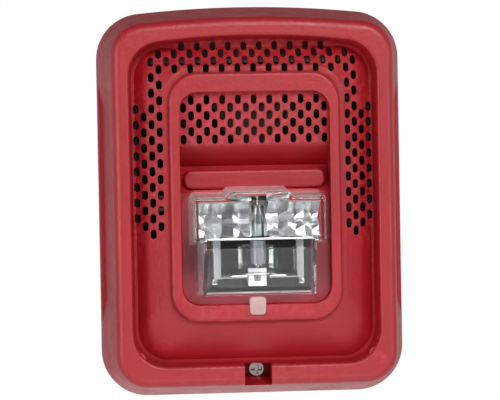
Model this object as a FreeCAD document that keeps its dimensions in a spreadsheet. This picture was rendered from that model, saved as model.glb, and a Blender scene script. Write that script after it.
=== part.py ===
import FreeCAD, Part
import math
import os
import re
import Sketcher

# Wall-mounted fire alarm horn strobe, in millimetres.
# Origin: centre of the mounting plate's back face, on the wall. +X right, +Z up,
# and the front of the device faces -Y. "Depth" is the distance in front of the wall.

SIZES = [
    # Housing
    ("body_width", 112.0), ("body_height", 143.0), ("body_corner", 17.0), ("body_crown", 396.0),
    ("back_gap", 1.5), ("rim_depth", 28.0), ("skirt_draft", 13.5), ("skirt_slope", 0.2401),
    ("rim_round", 3.4),
    ("wall", 2.4), ("inner_round", 1.2),
    ("recess_width", 88.4), ("recess_top", 59.0), ("recess_bottom", 58.4), ("recess_corner", 12.0),
    ("recess_crown", 300.0), ("recess_depth", 20.0), ("recess_draft", 6.0), ("skin", 2.0),
    ("pillow_margin", 1.0), ("pillow_width", 64.4), ("pillow_top", 48.0), ("pillow_bottom", 44.0),
    ("pillow_corner", 11.0), ("pillow_depth", 28.0),
    ("ring_width", 60.8), ("ring_top", 46.0), ("ring_bottom", 42.5), ("ring_corner", 10.5),
    ("ring_depth", 31.0), ("ring_round", 1.6),
    ("window_width", 53.4), ("window_top", 39.0), ("window_bottom", 36.6), ("window_corner", 6.5),
    ("panel_depth", 28.2), ("panel_foot_depth", 27.2), ("panel_foot", 20.0),
    ("cove_depth", 19.6), ("cove_bottom", 12.0), ("cove_top", 12.8), ("cove_roll", 1.4),
    ("ledge_top", 11.4), ("ledge_depth", 26.2), ("ledge_bottom", 4.6),
    ("seat_depth", 25.4), ("tub_wall", 1.8), ("ledge_half", 25.4), ("ledge_corner", 3.0),
    ("seat_open_half", 21.6), ("seat_open_top", 2.4), ("seat_open_bottom", 33.4),
    # Sound holes
    ("hole_pitch", 2.79), ("hole_width", 2.1), ("hole_length", 3.4),
    # Finger recesses in the sides, and the screw recess
    ("grip_half_length", 42.5), ("grip_sink", 1.3), ("grip_back", 3.5), ("grip_front", 22.0),
    ("notch_width", 9.7), ("notch_top", 58.0), ("notch_bottom", 63.6), ("notch_floor", 15.0),
    ("ramp_foot", 66.9),
    ("screw_height", 60.8), ("screw_bore", 2.2), ("boss_width", 15.0), ("boss_back", 13.2),
    # Hinge tongues, cover and board places
    ("tongue_place", 30.0), ("tongue_width", 6.0), ("tongue_thick", 1.8), ("bead_radius", 1.4),
    ("hinge_depth", 4.5), ("hinge_height", 65.5),
    ("cover_depth", 14.0), ("cover_thick", 1.6), ("cover_screw_x", 42.4), ("cover_screw_z", 55.4),
    ("cover_screw_hole", 1.25),
    ("board_depth", 16.0), ("board_thick", 1.6), ("board_screw_x", 39.5), ("board_screw_low", 46.0),
    ("board_screw_high", 43.0), ("board_screw_hole", 1.1),
    # Lens
    ("flange_half", 26.2), ("flange_top", 4.2), ("flange_bottom", 36.2), ("flange_thick", 1.4),
    ("flange_corner", 5.8), ("lens_depth", 49.0), ("lens_draft", 4.0), ("lens_wall", 1.5),
    ("bar_half", 24.2), ("bar_top", 3.4), ("bar_bottom", 15.3), ("bump_half", 12.4),
    ("stem_half", 20.9), ("stem_bottom", 33.4), ("lens_slope_top", 16.0), ("lens_slope_depth", 40.0),
    # Reflector, flash tube
    ("reflector_back", 20.4), ("reflector_half", 20.2), ("reflector_rim", 44.0),
    ("reflector_wall", 0.9), ("trough_rim", 36.5), ("trough_half", 13.2), ("trough_bottom", 30.0),
    ("tube_radius", 2.2), ("tube_bore", 1.6), ("tube_depth", 36.0), ("tube_top", 1.2),
    ("tube_bottom", 22.0), ("lead_radius", 0.4), ("lead_top", 1.6), ("lead_bottom", 22.9),
    ("band_top", 13.6), ("band_bottom", 21.4),
    ("label_half", 3.1), ("label_top", 23.8), ("label_bottom", 29.4),
    # Mounting plate
    ("plate_half", 48.0), ("plate_bottom", 66.8), ("plate_top", 59.0), ("plate_thick", 2.4),
    ("plate_corner", 9.0), ("plate_rib", 5.2), ("plate_rib_wide", 1.6),
    ("gang_spacing", 83.3), ("double_spacing", 46.0), ("fixing_radius", 2.2),
    ("cable_half", 21.0), ("cable_top", 10.0), ("cable_bottom", 34.0), ("cable_corner", 6.0),
    ("cup_radius", 1.5), ("cup_front", 7.5), ("screw_boss_radius", 4.6), ("screw_boss_front", 6.0),
    # Terminals
    ("terminal_pitch", 11.0), ("block_half", 22.5), ("block_top", 33.0), ("block_middle", 25.0),
    ("block_bottom", 13.6), ("block_front", 11.0), ("block_step", 8.0),
    ("terminal_screw_height", 19.6), ("terminal_screw_radius", 1.75), ("blade_height", 29.2),
    ("blade_wide", 4.0), ("blade_thick", 0.8), ("blade_tip", 6.0),
    # Captive screw
    ("screw_radius", 1.75), ("screw_tip", 1.2), ("screw_head_radius", 2.6), ("screw_head", 2.4),
    ("clip_depth", 6.6), ("clip_thick", 0.8),
    # Switches
    ("slider_half", 19.0), ("dial_x", 27.0), ("dial_height", 4.0), ("dial_radius", 3.4),
    ("slider_travel", 9.0), ("slider_height", 26.7), ("knob_half", 3.0), ("dial_body", 10.0),
    # Rear cover, circuit board and what they carry
    ("cover_half", 49.5), ("cover_bottom", 64.7), ("cover_top", 62.7), ("cover_corner", 12.0),
    ("board_half", 43.0), ("board_tall", 50.0), ("header_half", 19.0),
    ("horn_height", 34.0), ("horn_radius", 13.6), ("horn_front", 21.4),
    ("can_radius", 4.0), ("can_length", 30.0), ("can_depth", 20.2), ("can_height", 43.4),
    ("latch_half", 2.95), ("latch_top", 33.8), ("latch_bottom", 40.2), ("latch_back", 26.8),
    ("latch_front", 31.4),
]

doc = FreeCAD.newDocument("HornStrobe")
sheet = doc.addObject("Spreadsheet::Sheet", "Sizes")
for row, (alias, value) in enumerate(SIZES, start=1):
    sheet.set(f"A{row}", alias)
    sheet.set(f"B{row}", str(value))
    sheet.setAlias(f"B{row}", alias)
doc.recompute()

ALIASES = dict(SIZES)
V = FreeCAD.Vector
parts = {}


def expression(value):
    """Sheet aliases written as bare words become references to the sheet."""
    return re.sub("[a-z][a-z0-9_]*", lambda m: f"Sizes.{m[0]}" if m[0] in ALIASES else m[0], str(value))


def number(value):
    """The value of an expression of sheet aliases."""
    return float(sheet.evalExpression(expression(value)))


# ---------------------------------------------------------------- sketches

def new_body(label):
    body = doc.addObject("PartDesign::Body", label)
    body.Label = label
    return body


def sketch_on(body, name, role, offset="0"):
    """A sketch on one of the body's own origin planes, moved along its normal."""
    sketch = body.newObject("Sketcher::SketchObject", name)
    plane = next(o for o in body.Origin.OriginFeatures if o.Role == role)
    sketch.AttachmentSupport = [(plane, "")]
    sketch.MapMode = "FlatFace"
    sketch.setExpression("AttachmentOffset.Base.z", expression(offset))
    return sketch


def hold(sketch, kind, first, second, value, name):
    """A signed distance between two points, bound to the sheet."""
    if number(value) < 0:
        first, second, value = second, first, f"-({value})"
    index = sketch.addConstraint(Sketcher.Constraint(kind, *first, *second, number(value)))
    sketch.renameConstraint(index, name)
    sketch.setExpression(f"Constraints.{name}", expression(value))


def outline(sketch, points):
    """A closed run of straight lines, each corner held by its two distances."""
    start = sketch.GeometryCount
    places = [V(number(x), number(y), 0) for x, y in points]
    count = len(points)
    for i in range(count):
        sketch.addGeometry(Part.LineSegment(places[i], places[(i + 1) % count]), False)
    for i in range(count):
        nxt = start + (i + 1) % count
        sketch.addConstraint(Sketcher.Constraint("Coincident", start + i, 2, nxt, 1))
    for i, (x, y) in enumerate(points):
        hold(sketch, "DistanceX", (-1, 1), (start + i, 1), x, f"x{start + i}")
        hold(sketch, "DistanceY", (-1, 1), (start + i, 1), y, f"y{start + i}")


def rectangle(sketch, left, right, bottom, top):
    outline(sketch, [(left, bottom), (right, bottom), (right, top), (left, top)])


def circle(sketch, x, y, radius):
    index = sketch.addGeometry(Part.Circle(V(number(x), number(y), 0), V(0, 0, 1), number(radius)), False)
    hold(sketch, "DistanceX", (-1, 1), (index, 3), x, f"x{index}")
    hold(sketch, "DistanceY", (-1, 1), (index, 3), y, f"y{index}")
    constraint = sketch.addConstraint(Sketcher.Constraint("Radius", index, number(radius)))
    sketch.renameConstraint(constraint, f"r{index}")
    sketch.setExpression(f"Constraints.r{index}", expression(radius))


def rounded_rectangle(sketch, half_width, bottom, top, radius, crown=None):
    """A rounded rectangle about X = 0; with a crown radius its top edge is an arc."""
    w, b, t, r = number(half_width), number(bottom), number(top), number(radius)
    start = sketch.GeometryCount
    if crown:
        big = number(crown)
        lean = math.asin((w - r) / (big - r))
        centre = t - big
        corner_z = centre + (big - r) * math.cos(lean)
        joint = V(big * math.sin(lean), centre + big * math.cos(lean), 0)
    else:
        lean = 0.0
        corner_z = t - r
        joint = V(w - r, t, 0)
    up = math.pi / 2
    pieces = [
        Part.LineSegment(V(-w + r, b, 0), V(w - r, b, 0)),
        Part.ArcOfCircle(Part.Circle(V(w - r, b + r, 0), V(0, 0, 1), r), -up, 0),
        Part.LineSegment(V(w, b + r, 0), V(w, corner_z, 0)),
        Part.ArcOfCircle(Part.Circle(V(w - r, corner_z, 0), V(0, 0, 1), r), 0, up - lean),
        Part.LineSegment(joint, V(-joint.x, joint.y, 0)),
        Part.ArcOfCircle(Part.Circle(V(-w + r, corner_z, 0), V(0, 0, 1), r), up + lean, 2 * up),
        Part.LineSegment(V(-w, corner_z, 0), V(-w, b + r, 0)),
        Part.ArcOfCircle(Part.Circle(V(-w + r, b + r, 0), V(0, 0, 1), r), 2 * up, 3 * up),
    ]
    if crown:
        pieces[4] = Part.ArcOfCircle(Part.Circle(V(0, t - big, 0), V(0, 0, 1), big), up - lean, up + lean)
    for piece in pieces:
        sketch.addGeometry(piece, False)
    for i in range(8):
        here, there = start + i, start + (i + 1) % 8
        sketch.addConstraint(Sketcher.Constraint("Tangent", here, 2, there, 1))
    for i in (3, 5, 7):
        sketch.addConstraint(Sketcher.Constraint("Equal", start + 1, start + i))
    index = sketch.addConstraint(Sketcher.Constraint("Radius", start + 1, r))
    sketch.renameConstraint(index, f"corner{start}")
    sketch.setExpression(f"Constraints.corner{start}", expression(radius))
    sketch.addConstraint(Sketcher.Constraint("Vertical", start + 2))
    sketch.addConstraint(Sketcher.Constraint("Vertical", start + 6))
    sketch.addConstraint(Sketcher.Constraint("Horizontal", start))
    hold(sketch, "DistanceX", (-1, 1), (start + 2, 1), half_width, f"right{start}")
    hold(sketch, "DistanceX", (start + 6, 1), (-1, 1), half_width, f"left{start}")
    hold(sketch, "DistanceY", (-1, 1), (start, 1), bottom, f"bottom{start}")
    if crown:
        hold(sketch, "DistanceX", (-1, 1), (start + 4, 3), "0", f"middle{start}")
        hold(sketch, "DistanceY", (start + 4, 3), (-1, 1), f"{crown} - ({top})", f"top{start}")
        index = sketch.addConstraint(Sketcher.Constraint("Radius", start + 4, big))
        sketch.renameConstraint(index, f"crown{start}")
        sketch.setExpression(f"Constraints.crown{start}", expression(crown))
    else:
        sketch.addConstraint(Sketcher.Constraint("Horizontal", start + 4))
        hold(sketch, "DistanceY", (-1, 1), (start + 4, 1), top, f"top{start}")


# ---------------------------------------------------------------- features

def extrude(body, kind, name, sketch, length, taper=None, back=False, both=False):
    """Pad or pocket; back sends it against the sketch's own normal."""
    feature = body.newObject(f"PartDesign::{kind}", name)
    feature.Profile = sketch
    feature.setExpression("Length", expression(length))
    if taper:
        feature.setExpression("TaperAngle", expression(taper))
    if both:
        feature.Midplane = True
    feature.Reversed = (kind == "Pocket") != back
    body.Tip = feature
    doc.recompute()
    return feature


def pad(body, name, sketch, length, **options):
    return extrude(body, "Pad", name, sketch, length, **options)


def pocket(body, name, sketch, length, **options):
    before = body.Shape.Volume
    feature = extrude(body, "Pocket", name, sketch, length, **options)
    if before - body.Shape.Volume < 1e-3:
        raise RuntimeError(f"{name} cuts nothing")
    return feature


def loft(body, kind, name, first, second):
    feature = body.newObject(f"PartDesign::{kind}Loft", name)
    feature.Profile = first
    feature.Sections = [second]
    feature.Ruled = True
    body.Tip = feature
    doc.recompute()
    return feature


def edge_names(shape, test):
    """Edges whose every sampled point passes the test."""
    names = []
    for index, edge in enumerate(shape.Edges, start=1):
        first, last = edge.ParameterRange
        points = [edge.valueAt(first + (last - first) * k / 4) for k in range(5)]
        if all(test(p) for p in points):
            names.append(f"Edge{index}")
    return names


def fillet(body, name, radius, test):
    base = body.Tip
    names = edge_names(base.Shape, test)
    if not names:
        raise RuntimeError(f"{name} finds no edges")
    feature = body.newObject("PartDesign::Fillet", name)
    feature.Base = (base, names)
    feature.setExpression("Radius", expression(radius))
    body.Tip = feature
    doc.recompute()
    return feature


def near(a, b, slack=0.02):
    return abs(a - b) < slack


def keep(node, shape_object):
    """Register one finished sub-part under its file name."""
    shape_object.Label = node
    parts[node] = shape_object
    return shape_object


# ---------------------------------------------------------------- plain solids bound to the sheet

FRONT = "board_depth + board_thick"  # the circuit board's front face


def place(solid, x, depth, z):
    for axis, value in (("x", x), ("y", f"-({depth})"), ("z", z)):
        solid.setExpression(f"Placement.Base.{axis}", expression(value))


def block(label, left, right, back, front, bottom, top):
    """A box between two X values, two depths and two heights."""
    solid = doc.addObject("Part::Box", label)
    solid.setExpression("Length", expression(f"({right}) - ({left})"))
    solid.setExpression("Width", expression(f"({front}) - ({back})"))
    solid.setExpression("Height", expression(f"({top}) - ({bottom})"))
    place(solid, left, front, bottom)
    return solid


TURNS = {"depth": (V(1, 0, 0), 90), "up": (V(0, 0, 1), 0), "across": (V(0, 1, 0), 90)}


def rod(label, direction, radius, length, x, depth, z):
    """A cylinder that starts at a point and runs forward, up or to the right."""
    solid = doc.addObject("Part::Cylinder", label)
    solid.setExpression("Radius", expression(radius))
    solid.setExpression("Height", expression(length))
    solid.Placement = FreeCAD.Placement(V(), FreeCAD.Rotation(*TURNS[direction]))
    place(solid, x, depth, z)
    return solid


def tube(label, direction, outer, inner, length, x, depth, z):
    return cut(label, rod(f"{label}_outer", direction, outer, length, x, depth, z),
               rod(f"{label}_inner", direction, inner, length, x, depth, z))


def fuse(label, *solids):
    joined = doc.addObject("Part::MultiFuse", label)
    joined.Shapes = list(solids)
    return joined


def cut(label, base, *tools):
    tool = tools[0] if len(tools) == 1 else fuse(f"{label}_tools", *tools)
    result = doc.addObject("Part::Cut", label)
    result.Base = base
    result.Tool = tool
    return result


def group(label, *solids):
    """Several separate solids of one kind, kept side by side in one sub-part."""
    together = doc.addObject("Part::Compound", label)
    together.Links = list(solids)
    return together


def screw(label, x, z, seat, tip, head_radius, head, shank_radius, drive, from_wall=False):
    """A pan-head screw with a cross recess, driven from the front or from the wall side."""
    if from_wall:
        head_back, head_front = f"{seat} - {head}", seat
        shank_back, shank_front = seat, tip
        recess_back, recess_front = f"{head_back} - 0.2", f"{head_back} + 1.0"
    else:
        head_back, head_front = seat, f"{seat} + {head}"
        shank_back, shank_front = tip, seat
        recess_back, recess_front = f"{head_front} - 1.0", f"{head_front} + 0.2"
    body = fuse(f"{label}_solid",
                rod(f"{label}_head", "depth", head_radius, head, x, head_back, z),
                rod(f"{label}_shank", "depth", shank_radius, f"{shank_front} - ({shank_back})", x,
                    shank_back, z))
    arms = [
        block(f"{label}_arm_across", f"{x} - {drive}", f"{x} + {drive}", recess_back, recess_front,
              f"{z} - {drive} * 0.3", f"{z} + {drive} * 0.3"),
        block(f"{label}_arm_up", f"{x} - {drive} * 0.3", f"{x} + {drive} * 0.3", recess_back, recess_front,
              f"{z} - {drive}", f"{z} + {drive}"),
    ]
    return cut(label, body, *arms)


# ---------------------------------------------------------------- front housing

housing = new_body("housing_shell")

back_outline = sketch_on(housing, "BackOutline", "XZ_Plane", "back_gap")
rounded_rectangle(back_outline, "body_width / 2", "-body_height / 2", "body_height / 2",
                  "body_corner", "body_crown")
pad(housing, "Block", back_outline, "rim_depth - back_gap", taper="-skirt_draft")

# Finger recesses: long shallow scoops in both side walls.
for side, role in ((1, "Right"), (-1, "Left")):
    grip = sketch_on(housing, f"Grip{role}", "XZ_Plane", "grip_back")
    wall_x = "body_width / 2 - (grip_back - back_gap) * skirt_slope"
    sign = "" if side > 0 else "-"
    outline(grip, [
        (f"{sign}({wall_x} - grip_sink)", "-grip_half_length + 7"),
        (f"{sign}({wall_x} - grip_sink)", "grip_half_length - 7"),
        (f"{sign}({wall_x} + 1)", "grip_half_length + 7"),
        (f"{sign}({wall_x} + 6)", "grip_half_length + 7"),
        (f"{sign}({wall_x} + 6)", "-grip_half_length - 7"),
        (f"{sign}({wall_x} + 1)", "-grip_half_length - 7"),
    ])
    pocket(housing, f"GripPocket{role}", grip, "grip_front - grip_back", taper="skirt_draft")

fillet(housing, "RimOuterRound", "rim_round", lambda p: near(p.y, -number("rim_depth")))

recess = sketch_on(housing, "Recess", "XZ_Plane", "rim_depth")
rounded_rectangle(recess, "recess_width / 2", "-recess_bottom", "recess_top", "recess_corner",
                  "recess_crown")
pocket(housing, "RecessPocket", recess, "rim_depth - recess_depth", back=True, taper="-recess_draft")

fillet(housing, "RimInnerRound", "inner_round",
       lambda p: near(p.y, -number("rim_depth")) and abs(p.x) < number("recess_width") / 2 + 0.5
       and -number("recess_bottom") - 0.5 < p.z < number("recess_top") + 0.5)

# The sloped field that climbs from the sunk band to the ring.
pillow_foot = sketch_on(housing, "PillowFoot", "XZ_Plane", "recess_depth - 0.01")
rounded_rectangle(pillow_foot, "recess_width / 2 - 0.85 - pillow_margin",
                  "-recess_bottom + 0.85 + pillow_margin", "recess_top - 2.6 - pillow_margin",
                  "recess_corner - pillow_margin")
pillow_crest = sketch_on(housing, "PillowCrest", "XZ_Plane", "pillow_depth")
rounded_rectangle(pillow_crest, "pillow_width / 2", "-pillow_bottom", "pillow_top", "pillow_corner")
loft(housing, "Additive", "Pillow", pillow_foot, pillow_crest)

ring_outline = sketch_on(housing, "RingOutline", "XZ_Plane", "pillow_depth - 0.01")
rounded_rectangle(ring_outline, "ring_width / 2", "-ring_bottom", "ring_top", "ring_corner")
pad(housing, "Ring", ring_outline, "ring_depth - pillow_depth + 0.01")
fillet(housing, "RingOuterRound", "ring_round",
       lambda p: near(p.y, -number("ring_depth")))

# Hollow behind: the main cavity, the channel behind the rim, and the space under the field.
cavity = sketch_on(housing, "Cavity", "XZ_Plane", "back_gap")
rounded_rectangle(cavity, "body_width / 2 - wall", "-body_height / 2 + wall",
                  "body_height / 2 - wall", "body_corner - wall", "body_crown - wall")
pocket(housing, "CavityPocket", cavity, "recess_depth - skin - back_gap", taper="-skirt_draft")

channel = sketch_on(housing, "RimChannel", "XZ_Plane", "recess_depth - skin - 0.01")
channel_inset = "(wall + (recess_depth - skin - back_gap) * skirt_slope + 0.9)"
rounded_rectangle(channel, f"body_width / 2 - {channel_inset}", f"-body_height / 2 + {channel_inset}",
                  f"body_height / 2 - {channel_inset}", f"body_corner - {channel_inset}",
                  f"body_crown - {channel_inset}")
rounded_rectangle(channel, "recess_width / 2 + 1.8", "-recess_bottom - 1.8", "recess_top + 1.8",
                  "recess_corner + 1.8", "recess_crown + 1.8")
pocket(housing, "ChannelPocket", channel, "rim_depth - recess_depth - 2")

under_foot = sketch_on(housing, "UnderFoot", "XZ_Plane", "recess_depth - skin - 0.01")
rounded_rectangle(under_foot, "recess_width / 2 - 2.9 - pillow_margin",
                  "-recess_bottom + 3.2 + pillow_margin", "recess_top - 4.8 - pillow_margin",
                  "recess_corner - 3")
under_crest = sketch_on(housing, "UnderCrest", "XZ_Plane", "pillow_depth - skin")
rounded_rectangle(under_crest, "pillow_width / 2 - 0.9", "-pillow_bottom + 1.0", "pillow_top - 0.9",
                  "pillow_corner - 1.5")
loft(housing, "Subtractive", "UnderField", under_foot, under_crest)

# Window through the ring plate, then the tub behind it: grille panel, cove and lens seat.
window = sketch_on(housing, "Window", "XZ_Plane", "ring_depth + 0.01")
rounded_rectangle(window, "window_width / 2", "-window_bottom", "window_top", "window_corner")
pocket(housing, "WindowPocket", window, "ring_depth - pillow_depth + skin + 0.5", back=True)


def foot_roll(steps=5):
    """The grille panel's foot rolls under into the cove along a parabola."""
    lean = "(panel_depth - panel_foot_depth) / (window_top + 3 - panel_foot)"
    start = (f"(panel_foot_depth + {lean} * cove_roll)", "(panel_foot + cove_roll)")
    end = ("(0.7 * panel_foot_depth + 0.3 * cove_depth)", "(0.7 * panel_foot + 0.3 * cove_top)")
    points = []
    for k in range(steps + 1):
        t = k / steps
        shares = f"{(1 - t) ** 2:.4f}", f"{2 * t * (1 - t):.4f}", f"{t * t:.4f}"
        depth = f"{shares[0]} * {start[0]} + {shares[1]} * panel_foot_depth + {shares[2]} * {end[0]}"
        height = f"{shares[0]} * {start[1]} + {shares[1]} * panel_foot + {shares[2]} * {end[1]}"
        points.append((f"-({depth})", height))
    return points


front_run = [
    ("-panel_depth", "window_top + 3"),
    *foot_roll(),
    ("-cove_depth", "cove_top"),
    ("-cove_depth", "cove_bottom"),
    ("-seat_depth", "ledge_bottom - 1.4"),
    ("-seat_depth", "-window_bottom"),
]
tub = sketch_on(housing, "TubProfile", "YZ_Plane", "0")
outline(tub, front_run + [
    ("-pillow_depth + 1.6", "-window_bottom"),
    ("-pillow_depth + 1.6", "-window_bottom - tub_wall"),
    ("-seat_depth + tub_wall", "-window_bottom - tub_wall"),
    ("-seat_depth + tub_wall", "ledge_bottom - 2.2"),
    ("-cove_depth + tub_wall", "cove_bottom - 0.8"),
    ("-cove_depth + tub_wall", "cove_top + 0.4"),
    ("-panel_foot_depth + tub_wall", "panel_foot + 0.6"),
    ("-panel_depth + tub_wall", "window_top + 3"),
])
pad(housing, "Tub", tub, "window_width + 2 * tub_wall", both=True)

for side, role in ((1, "Right"), (-1, "Left")):
    cheek = sketch_on(housing, f"Cheek{role}", "YZ_Plane",
                      "window_width / 2" if side > 0 else "-window_width / 2 - tub_wall")
    outline(cheek, front_run[1:] + [
        ("-pillow_depth + 1.6", "-window_bottom"),
        ("-pillow_depth + 1.6", "panel_foot + 13.4"),
    ])
    pad(housing, f"CheekWall{role}", cheek, "tub_wall")

# Ledge over the lens, with the cove's groove behind its top edge.
ledge = sketch_on(housing, "Ledge", "XZ_Plane", "cove_depth - 1")
rounded_rectangle(ledge, "ledge_half", "ledge_bottom", "ledge_top", "ledge_corner")
pad(housing, "LedgePad", ledge, "ledge_depth - cove_depth + 1")
fillet(housing, "LedgeRound", "inner_round", lambda p: near(p.y, -number("ledge_depth")))

seat = sketch_on(housing, "SeatOpening", "XZ_Plane", "seat_depth + 0.01")
rounded_rectangle(seat, "seat_open_half", "-seat_open_bottom", "seat_open_top", "inner_round * 1.5")
pocket(housing, "SeatPocket", seat, "tub_wall + 0.6", back=True)

latch_slot = sketch_on(housing, "LatchSlot", "XZ_Plane", "ring_depth + 0.01")
rounded_rectangle(latch_slot, "latch_half + 0.15", "-latch_bottom - 0.15", "-latch_top", "1.5")
pocket(housing, "LatchSlotCut", latch_slot, "ring_depth - latch_back + 0.01", back=True)

# Screw boss in the bottom rim, its recess in the front and its bore.
boss = sketch_on(housing, "ScrewBoss", "XZ_Plane", "boss_back")
rectangle(boss, "-boss_width / 2", "boss_width / 2", "-notch_bottom - 3.2", "-notch_top + 1.8")
pad(housing, "BossFoot", boss, "recess_depth - skin / 2 - boss_back")
boss_head = sketch_on(housing, "BossHead", "XZ_Plane", "recess_depth - skin")
rectangle(boss_head, "-boss_width / 2", "boss_width / 2", "-notch_bottom - 1.1", "-notch_top - 0.9")
pad(housing, "BossHeadPad", boss_head, "rim_depth - recess_depth + skin - 3.6")
notch = sketch_on(housing, "Notch", "XZ_Plane", "rim_depth + 0.01")
rectangle(notch, "-notch_width / 2", "notch_width / 2", "-notch_bottom", "-notch_top")
pocket(housing, "NotchPocket", notch, "rim_depth - notch_floor + 0.01", back=True)
ramp = sketch_on(housing, "NotchRamp", "YZ_Plane", "0")
outline(ramp, [
    ("-rim_depth - 1", "-ramp_foot"), ("-rim_depth - 1", "-notch_bottom + 0.5"),
    ("-notch_floor - 2.8", "-notch_bottom + 0.5"), ("-notch_floor - 2.8", "-notch_bottom"),
])
pocket(housing, "RampPocket", ramp, "notch_width", both=True)
bore = sketch_on(housing, "ScrewBore", "XZ_Plane", "notch_floor + 0.01")
circle(bore, "0", "-screw_height", "screw_bore")
pocket(housing, "BorePocket", bore, "notch_floor - boss_back + 0.02", back=True)

# Hinge tongues: two ribs from the top wall, each ending in a round bead.
for side, role in ((1, "Right"), (-1, "Left")):
    rib = sketch_on(housing, f"TongueRib{role}", "YZ_Plane", f"{side} * tongue_place")
    rectangle(rib, "-hinge_depth - tongue_thick / 2", "-hinge_depth + tongue_thick / 2",
              "hinge_height", "body_height / 2 - 2.6")
    pad(housing, f"Tongue{role}", rib, "tongue_width", both=True)
    bead = sketch_on(housing, f"TongueBead{role}", "YZ_Plane", f"{side} * tongue_place")
    circle(bead, "-hinge_depth", "hinge_height", "bead_radius")
    pad(housing, f"Bead{role}", bead, "tongue_width + 0.8", both=True)

# Bosses for the rear cover's screws and posts for the circuit board's screws.
for name, start, length, x, z_low, z_high, radius, drill, drill_length in (
    ("Cover", "cover_depth", "rim_depth - cover_depth - 1", "cover_screw_x", "cover_screw_z",
     "cover_screw_z", "2.5", "cover_screw_hole", "8"),
    ("Board", "board_depth + board_thick", "recess_depth - board_depth - board_thick - 0.2",
     "board_screw_x", "board_screw_low", "board_screw_high", "2.2", "board_screw_hole", "2.2"),
):
    for feature, radius_here, length_here in (("Post", radius, length), ("Drill", drill, drill_length)):
        posts = sketch_on(housing, f"{name}{feature}Places", "XZ_Plane", start)
        for side in (1, -1):
            for z in (z_high, f"-{z_low}"):
                circle(posts, f"{side} * {x}", z, radius_here)
        if feature == "Post":
            pad(housing, f"{name}Posts", posts, length_here)
        else:
            pocket(housing, f"{name}Drills", posts, length_here)

# Sound holes: upright slots on a staggered lattice, through the field and the inner grille.
pitch = number("hole_pitch")
slot_half = number("hole_width") / 2
slot_straight = number("hole_length") / 2 - slot_half


def in_field(x, z):
    """Hole centres in the band over the ring and down both of its sides."""
    if z > number("ring_top") + 1.2:
        inside_corner = math.hypot(max(x - 26.0, 0), max(z - 43.0, 0)) < 13.2
        return z < number("recess_top") - 2.5 and inside_corner
    beside_ring = x > number("ring_width") / 2 + 1.6
    if x < 37.0:
        return beside_ring and z > -11.5
    return x < 42.5 and -9.5 < z < 35.5


def in_grille(x, z):
    low, high = number("panel_foot") + 1.5, number("window_top") - 2
    return x < number("window_width") / 2 - 1.5 and low < z < high


def slot_pin(x, z, depth, length):
    """An upright slot's prism, its round ends as arcs, running forward from the given depth."""
    left, right = x - slot_half, x + slot_half
    low, high = z - slot_straight, z + slot_straight
    corners = [V(left, -depth, low), V(left, -depth, high), V(right, -depth, high), V(right, -depth, low)]
    wire = Part.Wire([
        Part.LineSegment(corners[0], corners[1]).toShape(),
        Part.Arc(corners[1], V(x, -depth, high + slot_half), corners[2]).toShape(),
        Part.LineSegment(corners[2], corners[3]).toShape(),
        Part.Arc(corners[3], V(x, -depth, low - slot_half), corners[0]).toShape(),
    ])
    return Part.Face(wire).extrude(V(0, -length, 0))


pins = []
for i in range(-16, 17):
    for j in range(-6, 22):
        x, z = i * pitch, j * pitch
        if (i + j) % 2 == 0:
            continue
        if in_field(abs(x), z):
            pins.append(slot_pin(x, z, number("recess_depth") - number("skin") - 0.3, 12))
        elif in_grille(abs(x), z):
            pins.append(slot_pin(x, z, number("cove_depth") + 1, 12))
hole_pins = doc.addObject("Part::Feature", "SoundHolePins")
hole_pins.Shape = Part.makeCompound(pins)
perforated = doc.addObject("Part::Cut", "PerforatedHousing")
perforated.Base = housing
perforated.Tool = hole_pins
keep("front_housing", perforated)

# ---------------------------------------------------------------- lens, reflector and tube

def tee(sketch, inset):
    """The T outline of the lens with its bump at the top, drawn in by an inset."""
    outline(sketch, [
        (f"-(stem_half - {inset})", f"-stem_bottom + {inset}"),
        (f"stem_half - {inset}", f"-stem_bottom + {inset}"),
        (f"stem_half - {inset}", f"-bar_bottom + {inset}"),
        (f"bar_half - {inset}", f"-bar_bottom + {inset}"),
        (f"bar_half - {inset}", f"bar_top - 1.6 - {inset}"),
        (f"bar_half - 1.6 - {inset}", f"bar_top - {inset}"),
        (f"bump_half - {inset}", f"bar_top - {inset}"),
        (f"bump_half - 2.2 - {inset}", f"bar_top + 2.0 - {inset}"),
        (f"-(bump_half - 2.2 - {inset})", f"bar_top + 2.0 - {inset}"),
        (f"-(bump_half - {inset})", f"bar_top - {inset}"),
        (f"-(bar_half - 1.6 - {inset})", f"bar_top - {inset}"),
        (f"-(bar_half - {inset})", f"bar_top - 1.6 - {inset}"),
        (f"-(bar_half - {inset})", f"-bar_bottom + {inset}"),
        (f"-(stem_half - {inset})", f"-bar_bottom + {inset}"),
    ])


lens = new_body("strobe_lens")
flange = sketch_on(lens, "Flange", "XZ_Plane", "seat_depth")
rounded_rectangle(flange, "flange_half", "-flange_bottom", "flange_top", "flange_corner")
pad(lens, "FlangePad", flange, "flange_thick")
dome = sketch_on(lens, "Dome", "XZ_Plane", "seat_depth + flange_thick - 0.01")
tee(dome, "0")
pad(lens, "DomePad", dome, "lens_depth - seat_depth - flange_thick + 0.01", taper="-lens_draft")
slope = sketch_on(lens, "FrontSlope", "YZ_Plane", "0")
outline(slope, [
    ("-lens_depth - 1", "-lens_slope_top"), ("-lens_depth", "-lens_slope_top"),
    ("-lens_slope_depth", "-stem_bottom - 1"), ("-lens_depth - 1", "-stem_bottom - 1"),
])
pocket(lens, "SlopeCut", slope, "2 * bar_half + 4", both=True)
fillet(lens, "LensFrontRound", "inner_round",
       lambda p: near(p.y, -number("lens_depth")))

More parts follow.
